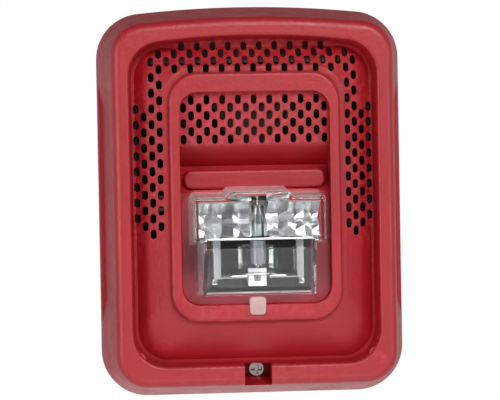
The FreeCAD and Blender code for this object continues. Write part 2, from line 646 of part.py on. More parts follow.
# The hollow inside the lens follows its outside at one wall's distance.
core = new_body("lens_core")
core_base = sketch_on(core, "CoreBase", "XZ_Plane", "seat_depth - 0.5")
tee(core_base, "lens_wall")
pad(core, "CorePad", core_base, "lens_depth - seat_depth + 0.5 - lens_wall", taper="-lens_draft")
core_slope = sketch_on(core, "CoreSlope", "YZ_Plane", "0")
outline(core_slope, [
    ("-lens_depth + lens_wall - 1", "-lens_slope_top + 0.4"),
    ("-lens_depth + lens_wall", "-lens_slope_top + 0.4"),
    ("-lens_slope_depth + lens_wall", "-stem_bottom - 0.6"),
    ("-lens_depth + lens_wall - 1", "-stem_bottom - 0.6"),
])
pocket(core, "CoreSlopeCut", core_slope, "2 * bar_half + 4", both=True)
lens_shell = doc.addObject("Part::Cut", "LensShell")
lens_shell.Base = lens
lens_shell.Tool = core
keep("strobe_lens", lens_shell)

# Reflector: a faceted trough across the top and another down the middle, on a base plate.
reflector = new_body("reflector")
base_plate = sketch_on(reflector, "BasePlate", "XZ_Plane", "reflector_back")
rectangle(base_plate, "-reflector_half", "reflector_half", "-trough_bottom - 0.8", "lead_top - 0.6")
pad(reflector, "Base", base_plate, "1.0")
feet = sketch_on(reflector, "ReflectorFeet", "XZ_Plane", "board_depth + board_thick")
for side in (1, -1):
    for z in ("-3.0", "-19.0"):
        circle(feet, f"{side} * 17", z, "1.6")
pad(reflector, "ReflectorFeetPad", feet, "reflector_back + 0.5 - board_depth - board_thick")
for side, role in ((1, "Right"), (-1, "Left")):
    cap = sketch_on(reflector, f"EndCap{role}", "YZ_Plane",
                    "reflector_half - reflector_wall" if side > 0 else "-reflector_half")
    rectangle(cap, "-reflector_rim", "-reflector_back - 0.5", "-12.3", "0")
    pad(reflector, f"End{role}", cap, "reflector_wall")
upper = sketch_on(reflector, "UpperTrough", "YZ_Plane", "0")
outline(upper, [
    ("-reflector_rim", "-reflector_wall"), ("-tube_depth - 1", "-1.6"), ("-tube_depth + 4.5", "-4.0"),
    ("-tube_depth + 4.5", "-8.2"), ("-tube_depth - 1", "-10.4"), ("-reflector_rim", "-11.4"),
    ("-reflector_rim", "-12.3"), ("-tube_depth - 0.8", "-11.3"), ("-tube_depth + 5.3", "-8.8"),
    ("-tube_depth + 5.3", "-3.4"), ("-tube_depth - 0.8", "-0.7"), ("-reflector_rim", "0"),
])
pad(reflector, "UpperTroughPad", upper, "2 * reflector_half - 0.4", both=True)
lower = sketch_on(reflector, "LowerTrough", "XY_Plane", "-11.6")
outline(lower, [
    ("-trough_half", "-trough_rim"), ("-11.4", "-trough_rim + 7.5"), ("-6.5", "-23.6"),
    ("6.5", "-23.6"), ("11.4", "-trough_rim + 7.5"), ("trough_half", "-trough_rim"),
    ("trough_half + reflector_wall", "-trough_rim"), ("12.4", "-trough_rim + 7.9"), ("7.0", "-22.6"),
    ("-7.0", "-22.6"), ("-12.4", "-trough_rim + 7.9"), ("-trough_half - reflector_wall", "-trough_rim"),
])
pad(reflector, "LowerTroughPad", lower, "trough_bottom - 11.6 + 0.2", back=True)
foot = sketch_on(reflector, "TroughFoot", "XY_Plane", "-trough_bottom")
rectangle(foot, "-trough_half - reflector_wall", "trough_half + reflector_wall", "-trough_rim",
          "-reflector_back - 0.5")
pad(reflector, "TroughFootPad", foot, "0.8", back=True)
tube_way = sketch_on(reflector, "TubeWay", "XY_Plane", "0.5")
circle(tube_way, "0", "-tube_depth", "tube_radius + 0.5")
pocket(reflector, "TubeWayCut", tube_way, "14", back=True)
label_way = sketch_on(reflector, "LabelWay", "XZ_Plane", "24.0")
rectangle(label_way, "-label_half", "label_half", "-label_bottom", "-label_top")
circle(label_way, "0", "-lead_bottom", "lead_radius + 0.3")
pocket(reflector, "LabelWayCut", label_way, "4", back=True)
keep("reflector", reflector)

# ---------------------------------------------------------------- flash tube

keep("flash_tube", tube("flash_tube", "up", "tube_radius", "tube_bore", "tube_bottom - tube_top",
                        "0", "tube_depth", "-tube_bottom"))
keep("trigger_band", tube("trigger_band", "up", "tube_radius + 0.5", "tube_radius",
                          "band_bottom - band_top", "0", "tube_depth", "-band_bottom"))
keep("tube_electrodes", group("tube_electrodes", *[
    fuse(f"electrode_{name}",
         rod(f"seal_{name}", "up", "tube_bore", "3.0", "0", "tube_depth", seal_low),
         rod(f"stub_{name}", "up", "lead_radius - 0.08", stub_length, "0", "tube_depth", stub_low),
         rod(f"lead_{name}", "depth", "lead_radius", f"tube_depth + 0.6 - ({FRONT})", "0", FRONT, lead_z))
    for name, seal_low, stub_low, stub_length, lead_z in (
        ("upper", "-tube_top - 3.0", "-tube_top", "tube_top + lead_top", "lead_top"),
        ("lower", "-tube_bottom", "-lead_bottom", "lead_bottom - tube_bottom", "-lead_bottom"),
    )
]))

# ---------------------------------------------------------------- mounting plate and terminals

plate = new_body("mounting_plate")
plate_outline = sketch_on(plate, "PlateOutline", "XZ_Plane", "0")
rounded_rectangle(plate_outline, "plate_half", "-plate_bottom", "plate_top", "plate_corner")
pad(plate, "Plate", plate_outline, "plate_thick")
rib_outline = sketch_on(plate, "RibOutline", "XZ_Plane", "plate_thick - 0.01")
rounded_rectangle(rib_outline, "plate_half", "-plate_bottom", "plate_top", "plate_corner")
rounded_rectangle(rib_outline, "plate_half - plate_rib_wide", "-plate_bottom + plate_rib_wide",
                  "plate_top - plate_rib_wide", "plate_corner - plate_rib_wide")
pad(plate, "EdgeRib", rib_outline, "plate_rib - plate_thick + 0.01")

# Hinge cups at the top: open upward, half round, each under one of the head's beads.
cup_outline = sketch_on(plate, "CupOutline", "XZ_Plane", "0")
for side in (1, -1):
    rectangle(cup_outline, f"{side} * tongue_place - tongue_width / 2 - 1.5",
              f"{side} * tongue_place + tongue_width / 2 + 1.5", "plate_top - 4", "hinge_height")
pad(plate, "Cups", cup_outline, "cup_front")
groove = sketch_on(plate, "CupGroove", "YZ_Plane", "0")
circle(groove, "-hinge_depth", "hinge_height", "cup_radius")
pocket(plate, "CupGrooveCut", groove, "2 * tongue_place + tongue_width + 6", both=True)

boss_ring = sketch_on(plate, "ScrewBossRing", "XZ_Plane", "plate_thick - 0.01")
circle(boss_ring, "0", "-screw_height", "screw_boss_radius")
pad(plate, "ScrewBossPad", boss_ring, "screw_boss_front - plate_thick + 0.01")

cable_way = sketch_on(plate, "CableWay", "XZ_Plane", "-0.01")
rounded_rectangle(cable_way, "cable_half", "-cable_bottom", "cable_top", "cable_corner")
circle(cable_way, "0", "-screw_height", "screw_bore")
pocket(plate, "CableWayCut", cable_way, "cup_front + 1")

fixing = sketch_on(plate, "FixingHoles", "XZ_Plane", "-0.01")
for z in ("gang_spacing / 2", "-gang_spacing / 2"):
    circle(fixing, "0", z, "fixing_radius")
    for side in (1, -1):
        circle(fixing, f"{side} * double_spacing / 2", z, "fixing_radius")
pocket(plate, "FixingCut", fixing, "plate_thick + 1")
keep("mounting_plate", plate)

# Terminal block: a low front step with the screws, and a raised part that takes the blades.
TERMINALS = [f"{k} * terminal_pitch" for k in (-1.5, -0.5, 0.5, 1.5)]
block_low = block("block_low", "-block_half", "block_half", "plate_thick", "block_step",
                  "block_bottom", "block_middle + 1")
block_high = block("block_high", "-block_half", "block_half", "plate_thick", "block_front",
                   "block_middle", "block_top")
fins = [
    block(f"block_fin_{k}", f"{k} * terminal_pitch - 0.8", f"{k} * terminal_pitch + 0.8",
          "plate_thick", "block_front", "block_bottom", "block_top")
    for k in (-1, 0, 1)
]
fins += [
    block("block_end_left", "-block_half", "-block_half + 1.2", "plate_thick", "block_front",
          "block_bottom", "block_top"),
    block("block_end_right", "block_half - 1.2", "block_half", "plate_thick", "block_front",
          "block_bottom", "block_top"),
]
ways = []
contacts = []
washers = []
for k, x in enumerate(TERMINALS, start=1):
    ways += [
        block(f"blade_way_{k}", f"{x} - 2.5", f"{x} + 2.5", "blade_tip - 1", "block_front + 1",
              "blade_height - blade_thick / 2 - 0.3", "blade_height + blade_thick / 2 + 0.9"),
        block(f"strip_way_{k}", f"{x} - 1.6", f"{x} + 1.6", "block_step", "block_step + 0.6",
              "block_middle - 1", "blade_height - 0.7"),
        block(f"leg_way_{k}", f"{x} - 1.6", f"{x} + 1.6", "blade_tip - 2", "block_step + 0.6",
              "blade_height - 1.2", "blade_height - 0.7"),
        rod(f"thread_way_{k}", "depth", "terminal_screw_radius + 0.05", "block_step", x,
            "plate_thick + 0.6", "terminal_screw_height"),
    ]
    strip = fuse(
        f"contact_{k}_solid",
        block(f"contact_pad_{k}", f"{x} - 3.2", f"{x} + 3.2", "block_step", "block_step + 0.6",
              "terminal_screw_height - 3.4", "terminal_screw_height + 3.4"),
        block(f"contact_strip_{k}", f"{x} - 1.6", f"{x} + 1.6", "block_step", "block_step + 0.6",
              "terminal_screw_height", "blade_height - 0.7"),
        block(f"contact_leg_{k}", f"{x} - 1.6", f"{x} + 1.6", "blade_tip - 2", "block_step + 0.6",
              "blade_height - 1.2", "blade_height - 0.7"),
    )
    contacts.append(cut(f"contact_{k}", strip, rod(
        f"contact_hole_{k}", "depth", "terminal_screw_radius + 0.05", "3", x, "block_step - 1",
        "terminal_screw_height")))
    washers.append(cut(f"washer_{k}", block(
        f"washer_plate_{k}", f"{x} - 3.3", f"{x} + 3.3", "block_step + 0.6", "block_step + 1.4",
        "terminal_screw_height - 3.3", "terminal_screw_height + 3.3"), rod(
        f"washer_hole_{k}", "depth", "terminal_screw_radius + 0.05", "4", x, "block_step",
        "terminal_screw_height")))
    keep(f"terminal_screw_{k}", screw(
        f"terminal_screw_{k}", x, "terminal_screw_height", "block_step + 1.4", "plate_thick + 1.2",
        "2.9", "2.0", "terminal_screw_radius", "1.7"))
keep("terminal_block", cut("terminal_block", fuse("terminal_block_solid", block_low, block_high, *fins),
                           *ways))
keep("terminal_contacts", group("terminal_contacts", *contacts))
keep("terminal_washers", group("terminal_washers", *washers))

# Shorting spring: a bent strip that bridges the two middle terminals while the head is off.
spring_solids = [
    block("spring_bar", "-terminal_pitch / 2 - 1", "terminal_pitch / 2 + 1", "block_front",
          "block_front + 0.4", "block_top - 2.4", "block_top - 0.6"),
    block("spring_back", "-1.6", "1.6", "plate_thick", "block_front + 0.4", "block_top",
          "block_top + 0.4"),
    block("spring_link", "-1.6", "1.6", "block_front", "block_front + 0.4", "block_top - 2.4",
          "block_top + 0.4"),
]
keep("shorting_spring", fuse("shorting_spring", *spring_solids))

# ---------------------------------------------------------------- rear cover and circuit board

cover = new_body("rear_cover")
cover_outline = sketch_on(cover, "CoverOutline", "XZ_Plane", "cover_depth - cover_thick")
rounded_rectangle(cover_outline, "cover_half", "-cover_bottom", "cover_top", "cover_corner")
pad(cover, "CoverPlate", cover_outline, "cover_thick")
lip = sketch_on(cover, "CoverLip", "XZ_Plane", "cover_depth - 0.01")
rounded_rectangle(lip, "cover_half", "-cover_bottom", "cover_top", "cover_corner")
rounded_rectangle(lip, "cover_half - 1.2", "-cover_bottom + 1.2", "cover_top - 1.2", "cover_corner - 1.2")
pad(cover, "CoverLipPad", lip, "1.81")
cover_ways = sketch_on(cover, "CoverWays", "XZ_Plane", "cover_depth - cover_thick - 0.01")
rectangle(cover_ways, "-boss_width / 2 - 0.9", "boss_width / 2 + 0.9", "-cover_bottom - 1",
          "-notch_top + 2.6")
rectangle(cover_ways, "-header_half - 0.5", "header_half + 0.5", "blade_height - 2.8",
          "blade_height + 2.8")
rectangle(cover_ways, "dial_x - dial_body / 2 - 0.4", "dial_x + dial_body / 2 + 0.4",
          "dial_height - dial_body / 2 - 0.4", "dial_height + dial_body / 2 + 0.4")
rectangle(cover_ways, "-slider_travel - knob_half - 0.6", "slider_travel + knob_half + 0.6",
          "-slider_height - 1.7", "-slider_height + 1.7")
for side in (1, -1):
    for z in ("cover_screw_z", "-cover_screw_z"):
        circle(cover_ways, f"{side} * cover_screw_x", z, "cover_screw_hole + 0.35")
for k in range(-3, 4):
    rectangle(cover_ways, f"{k} * 4.4 - 1.0", f"{k} * 4.4 + 1.0", "horn_height + 6", "horn_height + 18")
pocket(cover, "CoverWaysCut", cover_ways, "cover_thick + 2.2")
keep("rear_cover", cover)

board = new_body("circuit_board")
board_outline = sketch_on(board, "BoardOutline", "XZ_Plane", "board_depth")
rounded_rectangle(board_outline, "board_half", "-board_tall", "board_tall", "3.0")
rectangle(board_outline, "-can_length / 2 - 1", "can_length / 2 + 1", "-can_height - can_radius - 0.8",
          "-can_height + can_radius + 0.8")
rectangle(board_outline, "-slider_travel - knob_half - 0.6", "slider_travel + knob_half + 0.6",
          "-slider_height - 1.7", "-slider_height + 1.7")
circle(board_outline, "0", "horn_height", "3.0")
for side in (1, -1):
    for z in ("board_screw_high", "-board_screw_low"):
        circle(board_outline, f"{side} * board_screw_x", z, "board_screw_hole + 0.2")
pad(board, "Board", board_outline, "board_thick")
keep("circuit_board", board)

keep("cover_screws", group("cover_screws", *[
    screw(f"cover_screw_{name}", f"{x} * cover_screw_x", f"{z} * cover_screw_z",
          "cover_depth - cover_thick", "cover_depth + 5.5", "2.6", "1.5", "cover_screw_hole - 0.05", "1.5",
          from_wall=True)
    for name, x, z in (("a", -1, 1), ("b", 1, 1), ("c", -1, -1), ("d", 1, -1))
]))
keep("board_screws", group("board_screws", *[
    screw(f"board_screw_{name}", f"{x} * board_screw_x", z, "board_depth", "recess_depth - 0.7",
          "2.0", "1.2", "board_screw_hole - 0.05", "1.2", from_wall=True)
    for name, x, z in (("a", -1, "board_screw_high"), ("b", 1, "board_screw_high"),
                       ("c", -1, "-board_screw_low"), ("d", 1, "-board_screw_low"))
]))

# ---------------------------------------------------------------- captive screw

keep("captive_screw", screw("captive_screw", "0", "-screw_height", "notch_floor", "screw_tip",
                            "screw_head_radius", "screw_head", "screw_radius", "2.0"))
keep("screw_clip", cut(
    "screw_clip",
    rod("clip_disc", "depth", "screw_radius + 1.9", "clip_thick", "0", "clip_depth", "-screw_height"),
    rod("clip_bore", "depth", "screw_radius + 0.05", "clip_thick + 2", "0", "clip_depth - 1",
        "-screw_height"),
    block("clip_gap", "-1.2", "1.2", "clip_depth - 1", "clip_depth + 3", "-screw_height",
          "-screw_height + 6"),
))

# ---------------------------------------------------------------- horn

keep("horn_chamber", cut(
    "horn_chamber",
    rod("chamber_outer", "depth", "horn_radius", "horn_front - board_depth - board_thick", "0", FRONT,
        "horn_height"),
    rod("chamber_bore", "depth", "horn_radius - 1.4", "6", "0", f"{FRONT} + 2.0", "horn_height"),
    rod("chamber_well", "depth", "horn_radius - 2.4", "6", "0", f"{FRONT} + 0.6", "horn_height"),
    rod("chamber_vent", "depth", "3.0", "6", "0", f"{FRONT} - 1", "horn_height"),
    block("chamber_notch_right", "horn_radius - 2", "horn_radius + 1", f"{FRONT} + 2.6", "horn_front + 1",
          "horn_height - 1.0", "horn_height + 1.0"),
    block("chamber_notch_left", "-horn_radius - 1", "-horn_radius + 2", f"{FRONT} + 2.6", "horn_front + 1",
          "horn_height - 1.0", "horn_height + 1.0"),
))
keep("horn_gasket", tube("horn_gasket", "depth", "horn_radius - 1.45", "horn_radius - 2.4", "0.4", "0",
                         f"{FRONT} + 2.0", "horn_height"))
keep("piezo_disc", rod("piezo_disc", "depth", "horn_radius - 1.5", "0.25", "0", f"{FRONT} + 2.4",
                       "horn_height"))
keep("piezo_ceramic", rod("piezo_ceramic", "depth", "9.0", "0.25", "0", f"{FRONT} + 2.65",
                          "horn_height"))
keep("piezo_springs", group(
    "piezo_springs",
    fuse("spring_disc",
         block("spring_disc_arm", "horn_radius - 3.4", "horn_radius + 1.8", f"{FRONT} + 2.65",
               f"{FRONT} + 2.95", "horn_height - 0.6", "horn_height + 0.6"),
         block("spring_disc_leg", "horn_radius + 1.4", "horn_radius + 1.8", FRONT,
               f"{FRONT} + 2.95", "horn_height - 0.6", "horn_height + 0.6")),
    fuse("spring_ceramic",
         block("spring_ceramic_arm", "-horn_radius - 1.8", "-6", f"{FRONT} + 2.9",
               f"{FRONT} + 3.2", "horn_height - 0.6", "horn_height + 0.6"),
         block("spring_ceramic_leg", "-horn_radius - 1.8", "-horn_radius - 1.4", FRONT,
               f"{FRONT} + 3.2", "horn_height - 0.6", "horn_height + 0.6")),
))

# ---------------------------------------------------------------- switches

rails = [
    block(f"rail_{name}", "-slider_half - 3", "slider_half + 3", FRONT, f"{FRONT} + 2.0", low, high)
    for name, low, high in (("upper", "-label_top - 0.1", "-label_top + 0.4"),
                            ("lower", "-label_bottom - 0.7", "-label_bottom - 0.1"))
]
keep("brightness_rails", group("brightness_rails", *rails))
keep("brightness_slider", fuse(
    "brightness_slider",
    block("label_strip", "-slider_half", "slider_half", f"{FRONT} + 0.05", f"{FRONT} + 1.0",
          "-label_bottom", "-label_top - 0.2"),
    block("slider_knob", "-knob_half", "knob_half", "cover_depth - cover_thick - 0.6", f"{FRONT} + 0.5",
          "-slider_height - 1.3", "-slider_height + 1.3"),
))
keep("tone_switch_body", cut(
    "tone_switch_body",
    block("tone_body", "dial_x - dial_body / 2", "dial_x + dial_body / 2",
          "cover_depth - cover_thick - 0.4", "board_depth", "dial_height - dial_body / 2",
          "dial_height + dial_body / 2"),
    rod("tone_bore", "depth", "dial_radius + 0.05", "board_depth - cover_depth + 1.6", "dial_x",
        "cover_depth - cover_thick - 1.0", "dial_height"),
))
keep("tone_dial", cut(
    "tone_dial",
    rod("dial_drum", "depth", "dial_radius", "2.6", "dial_x", "cover_depth - cover_thick - 0.8",
        "dial_height"),
    block("dial_slot", "dial_x - 0.5", "dial_x + 0.5", "cover_depth - cover_thick - 2",
          "cover_depth - cover_thick + 0.2", "dial_height - 2.4", "dial_height + 3.6"),
))

# ---------------------------------------------------------------- contacts

blades = [
    block(f"blade_{k}", f"{x} - blade_wide / 2", f"{x} + blade_wide / 2", "blade_tip",
          "board_depth", "blade_height - blade_thick / 2", "blade_height + blade_thick / 2")
    for k, x in enumerate(TERMINALS, start=1)
]
keep("contact_blades", group("contact_blades", *blades))
header_body = block("header_body", "-header_half", "header_half", "cover_depth - cover_thick + 0.4",
                    "board_depth", "blade_height - 2.2", "blade_height + 2.2")
header_ways = [
    block(f"header_way_{k}", f"{x} - blade_wide / 2", f"{x} + blade_wide / 2", "blade_tip",
          "board_depth + 1", "blade_height - blade_thick / 2", "blade_height + blade_thick / 2")
    for k, x in enumerate(TERMINALS, start=1)
]
keep("contact_header", cut("contact_header", header_body, *header_ways))

# ---------------------------------------------------------------- components on the board

can_leads = []
for name, z in (("a", "-can_height - 1.8"), ("b", "-can_height + 1.8")):
    can_leads += [
        rod(f"can_lead_{name}", "across", "0.35", "2.6", "-can_length / 2 - 2.6", "can_depth", z),
        rod(f"can_foot_{name}", "depth", "0.3", f"can_depth - ({FRONT})", "-can_length / 2 - 2.2",
            FRONT, z),
    ]
keep("flash_capacitor", fuse(
    "flash_capacitor",
    rod("can", "across", "can_radius", "can_length", "-can_length / 2", "can_depth", "-can_height"),
    *can_leads,
))
keep("trigger_transformer", fuse(
    "trigger_transformer",
    block("transformer_core", "-35.0", "-29.6", FRONT, f"{FRONT} + 4.6", "-22.0", "-14.0"),
    block("transformer_coil", "-34.6", "-30.0", f"{FRONT} + 0.8", f"{FRONT} + 3.8", "-23.4", "-12.6"),
))
keep("power_inductor", fuse(
    "power_inductor",
    rod("inductor_foot", "depth", "3.2", "0.8", "32.6", FRONT, "-20"),
    rod("inductor_coil", "depth", "2.6", "3.4", "32.6", f"{FRONT} + 0.4", "-20"),
    rod("inductor_top", "depth", "3.2", "0.8", "32.6", f"{FRONT} + 3.4", "-20"),
))
legs = [
    block(f"leg_{side}_{k}", left, f"{left} + 1.2", FRONT, f"{FRONT} + 0.5",
          f"-8.2 + {k} * 1.27", f"-7.8 + {k} * 1.27")
    for side, left in (("left", "29.0"), ("right", "35.4")) for k in range(6)
]
keep("microcontroller", fuse(
    "microcontroller",
    block("chip", "30.0", "35.6", f"{FRONT} + 0.2", f"{FRONT} + 1.4", "-9.0", "-0.6"),
    *legs,
))
SMALL_PLACES = [(-33.0, 2.0), (-33.0, -2.5), (-30.6, 8.0), (-34.5, 12.0), (-31.0, 17.0), (31.0, -13.0),
                (34.5, -13.0), (-24.0, -38.0), (24.0, -38.0), (28.0, -44.0), (-28.0, -44.0), (31.5, 15.5)]
keep("small_components", group("small_components", *[
    block(f"small_{k}", f"{x} - 1.0", f"{x} + 1.0", FRONT, f"{FRONT} + 0.8", f"{z} - 0.6", f"{z} + 0.6")
    for k, (x, z) in enumerate(SMALL_PLACES)
]))

# Lens latch: the pale tab that hooks the lens's lower flange to the ring.
latch = new_body("lens_latch")
latch_outline = sketch_on(latch, "LatchOutline", "XZ_Plane", "latch_back")
rounded_rectangle(latch_outline, "latch_half", "-latch_bottom", "-latch_top", "1.4")
pad(latch, "Latch", latch_outline, "latch_front - latch_back")
fillet(latch, "LatchRound", "0.5", lambda p: near(p.y, -number("latch_front")))
keep("lens_latch", latch)

# ---------------------------------------------------------------- checks and export

doc.recompute()
for item in doc.Objects:
    if "Invalid" in item.State or "Error" in item.State:
        raise RuntimeError(f"{item.Name} is {item.State}")
os.makedirs("parts", exist_ok=True)
for node, solid in parts.items():
    if solid.Shape.isNull() or not solid.Shape.isValid():
        raise RuntimeError(f"{node} has no valid shape")
    solid.Shape.exportStep(f"parts/{node}.step")
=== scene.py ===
import math

import bmesh
import bpy
from mathutils import Matrix, Vector


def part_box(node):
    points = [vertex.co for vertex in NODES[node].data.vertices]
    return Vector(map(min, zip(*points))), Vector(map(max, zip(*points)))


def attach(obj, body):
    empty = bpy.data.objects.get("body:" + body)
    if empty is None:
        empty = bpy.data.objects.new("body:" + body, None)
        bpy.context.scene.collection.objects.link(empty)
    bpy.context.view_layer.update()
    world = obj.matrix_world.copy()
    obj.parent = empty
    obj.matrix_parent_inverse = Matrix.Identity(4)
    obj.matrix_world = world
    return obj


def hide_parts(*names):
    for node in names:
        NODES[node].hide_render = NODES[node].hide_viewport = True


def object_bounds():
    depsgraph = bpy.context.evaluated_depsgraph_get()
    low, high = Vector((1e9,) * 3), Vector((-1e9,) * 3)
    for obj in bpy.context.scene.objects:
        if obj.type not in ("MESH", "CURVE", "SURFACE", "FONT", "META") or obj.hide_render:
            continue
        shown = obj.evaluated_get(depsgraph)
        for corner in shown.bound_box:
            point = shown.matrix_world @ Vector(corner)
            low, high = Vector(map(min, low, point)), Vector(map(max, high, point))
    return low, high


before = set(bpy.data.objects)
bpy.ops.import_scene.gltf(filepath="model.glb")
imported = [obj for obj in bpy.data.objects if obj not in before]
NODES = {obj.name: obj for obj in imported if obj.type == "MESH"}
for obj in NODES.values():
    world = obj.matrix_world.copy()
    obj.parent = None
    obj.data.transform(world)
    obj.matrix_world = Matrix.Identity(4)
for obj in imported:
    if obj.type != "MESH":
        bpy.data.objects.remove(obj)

cad_low, cad_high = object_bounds()

# ---------------------------------------------------------------- camera
VIEW_AZIMUTH = -4.0
VIEW_ELEVATION = 1.0
VIEW_ROLL = -1.05
VIEW_DISTANCE = 0.62
VIEW_LENS = 120.0


def make_camera():
    """The camera, a little to the left of the object and rolled by one degree."""
    azimuth = math.radians(VIEW_AZIMUTH)
    elevation = math.radians(VIEW_ELEVATION)
    back = Vector((
        math.sin(azimuth) * math.cos(elevation),
        -math.cos(azimuth) * math.cos(elevation),
        math.sin(elevation),
    ))
    data = bpy.data.cameras.new("camera")
    data.lens = VIEW_LENS
    data.sensor_width = 36.0
    data.clip_start = 0.02
    data.clip_end = 20.0
    camera = bpy.data.objects.new("camera", data)
    bpy.context.scene.collection.objects.link(camera)
    camera.location = back * VIEW_DISTANCE
    camera.rotation_mode = "QUATERNION"
    look = (-back).to_track_quat("-Z", "Y")
    turn = look.to_matrix() @ Matrix.Rotation(math.radians(VIEW_ROLL), 3, "Z")
    camera.rotation_quaternion = turn.to_quaternion()
    bpy.context.scene.camera = camera


make_camera()

# ---------------------------------------------------------------- node material helpers


# Places of the colour sockets on Blender's Mix node.
MIX_FACTOR = 0
MIX_FIRST = 6
MIX_SECOND = 7
MIX_COLOUR = 2


def opaque(value):
    """A colour triple with full alpha; sockets and single values stay as they are."""
    return (*value, 1.0) if isinstance(value, tuple) else value


class Tree:
    """A small builder for one material's node tree."""

    def __init__(self, name):
        self.material = bpy.data.materials.new(name)
        self.material.use_nodes = True
        self.tree = self.material.node_tree
        self.tree.nodes.clear()
        self.out = self.tree.nodes.new("ShaderNodeOutputMaterial")
        self.where = self.node("ShaderNodeTexCoord").outputs["Object"]

    def node(self, kind, **settings):
        """A new node of this kind, with its settings."""
        made = self.tree.nodes.new(kind)
        for key, value in settings.items():
            setattr(made, key, value)
        return made

    def link(self, source, target):
        """Feeds an input socket from another socket or with a fixed value."""
        if isinstance(source, bpy.types.NodeSocket):
            self.tree.links.new(source, target)
        else:
            target.default_value = source

    def noise(self, scale, detail=3.0, rough=0.55, where=None):
        made = self.node("ShaderNodeTexNoise")
        self.link(where or self.where, made.inputs["Vector"])
        made.inputs["Scale"].default_value = scale
        made.inputs["Detail"].default_value = detail
        made.inputs["Roughness"].default_value = rough
        made.inputs["Distortion"].default_value = 0.0
        return made.outputs["Fac"]

    def stretched(self, factors):
        """Object coordinates scaled by axis, for grain that runs one way."""
        made = self.node("ShaderNodeMapping")
        self.link(self.where, made.inputs["Vector"])
        made.inputs["Scale"].default_value = factors
        return made.outputs["Vector"]

    def span(self, value, low, high, to_low, to_high):
        """Maps low..high on to to_low..to_high and clamps the ends."""
        made = self.node("ShaderNodeMapRange")
        self.link(value, made.inputs["Value"])
        made.inputs["From Min"].default_value = low
        made.inputs["From Max"].default_value = high
        made.inputs["To Min"].default_value = to_low
        made.inputs["To Max"].default_value = to_high
        return made.outputs["Result"]

    def product(self, first, second):
        made = self.node("ShaderNodeMath", operation="MULTIPLY")
        self.link(first, made.inputs[0])
        self.link(second, made.inputs[1])
        return made.outputs[0]

    def cloud(self, scale, detail, rough, low, high, most=1.0):
        """Soft patches from 0 to most, where a noise runs from low to high."""
        return self.span(self.noise(scale, detail, rough), low, high, 0.0, most)

    def blend(self, factor, first, second):
        """Mixes two colours, each a socket or a plain red, green, blue triple."""
        made = self.node("ShaderNodeMix", data_type="RGBA")
        self.link(factor, made.inputs[MIX_FACTOR])
        for value, socket in ((first, MIX_FIRST), (second, MIX_SECOND)):
            self.link(opaque(value), made.inputs[socket])
        return made.outputs[MIX_COLOUR]

    def bump(self, height, strength, distance, normal=None):
        made = self.node("ShaderNodeBump")
        self.link(height, made.inputs["Height"])
        made.inputs["Strength"].default_value = strength
        made.inputs["Distance"].default_value = distance
        if normal is not None:
            self.link(normal, made.inputs["Normal"])
        return made.outputs["Normal"]

    def chips(self, most):
        """Speckled wear, 0 on flats and up to most on outer edges."""
        point = self.node("ShaderNodeNewGeometry").outputs["Pointiness"]
        edges = self.span(point, 0.52, 0.60, 0.0, 1.0)
        return self.product(edges, self.cloud(420.0, 3.0, 0.55, 0.42, 0.62, most))

    def scuffs(self, low, high):
        """Uneven roughness between low and high, as handling leaves it on moulded plastic."""
        return self.span(self.noise(160.0, 5.0, 0.65), 0.25, 0.75, low, high)

    def principled(self, **values):
        made = self.node("ShaderNodeBsdfPrincipled")
        for key, value in values.items():
            name = key.replace("_", " ").title().replace("Ior", "IOR")
            self.link(opaque(value), made.inputs[name])
        self.link(made.outputs[0], self.out.inputs["Surface"])
        return made


def plastic(name, base, shade, rough, spread, grain=1500.0, worn=None, level=0.5):
    """Moulded plastic: cloudy colour, matt grain, scuffed edges."""
    t = Tree(name)
    colour = t.blend(t.cloud(38.0, 4.0, 0.55, 0.3, 0.7), base, shade)
    if worn is not None:
        colour = t.blend(t.chips(0.6), colour, worn)
    normal = t.bump(t.noise(grain, 2.0, 0.5), 0.3, 0.00004)
    t.principled(base_color=colour, roughness=t.scuffs(rough - spread, rough + spread), normal=normal,
                 specular_ior_level=level)
    return t.material


def housing_red():
    """Red moulded plastic: fine spark-eroded grain, cloudy pigment, and painted shade, a darker tone and
    less gloss in sheltered corners and recesses.
    """
    t = Tree("red_plastic")
    colour = t.blend(t.cloud(38.0, 4.0, 0.55, 0.3, 0.7), (0.345, 0.012, 0.019), (0.300, 0.010, 0.017))
    # Painted shade: an ambient-occlusion probe darkens the red in corners, creases and recesses, where
    # shade falls, and dims the gloss there.
    painted_shade_probe = t.node("ShaderNodeAmbientOcclusion")
    painted_shade_probe.samples = 8
    painted_shade_probe.only_local = True
    painted_shade_probe.inputs["Distance"].default_value = 0.011
    painted_shade = t.span(painted_shade_probe.outputs["AO"], 0.30, 0.82, 1.0, 0.0)
    colour = t.blend(painted_shade, colour, (0.300, 0.005, 0.009))
    colour = t.blend(t.chips(0.5), colour, (0.46, 0.045, 0.055))
    peel = t.bump(t.noise(620.0, 3.0, 0.6), 0.6, 0.00022)
    grain = t.bump(t.noise(1300.0, 3.0, 0.6), 0.5, 0.00008, peel)
    shade_dimmed_gloss = t.span(painted_shade, 0.0, 1.0, 0.5, 0.12)
    t.principled(base_color=colour, roughness=t.scuffs(0.36, 0.54), normal=grain,
                 specular_ior_level=shade_dimmed_gloss)
    return t.material


def metal(name, base, shade, rough, spread, along=(1.0, 1.0, 1.0), grain=900.0, strength=0.15,
          dull=None):
    """Bare or plated metal: drawn grain, small tarnish clouds."""
    t = Tree(name)
    colour = t.blend(t.cloud(90.0, 5.0, 0.6, 0.35, 0.7), base, shade)
    if dull is not None:
        colour = t.blend(t.cloud(260.0, 4.0, 0.7, 0.56, 0.74, 0.7), colour, dull)
    drawn = t.noise(grain, 3.0, 0.6, where=t.stretched(along))
    roughness = t.span(drawn, 0.3, 0.7, rough - spread, rough + spread)
    normal = t.bump(drawn, strength, 0.00002)
    t.principled(base_color=colour, metallic=1.0, roughness=roughness, normal=normal)
    return t.material


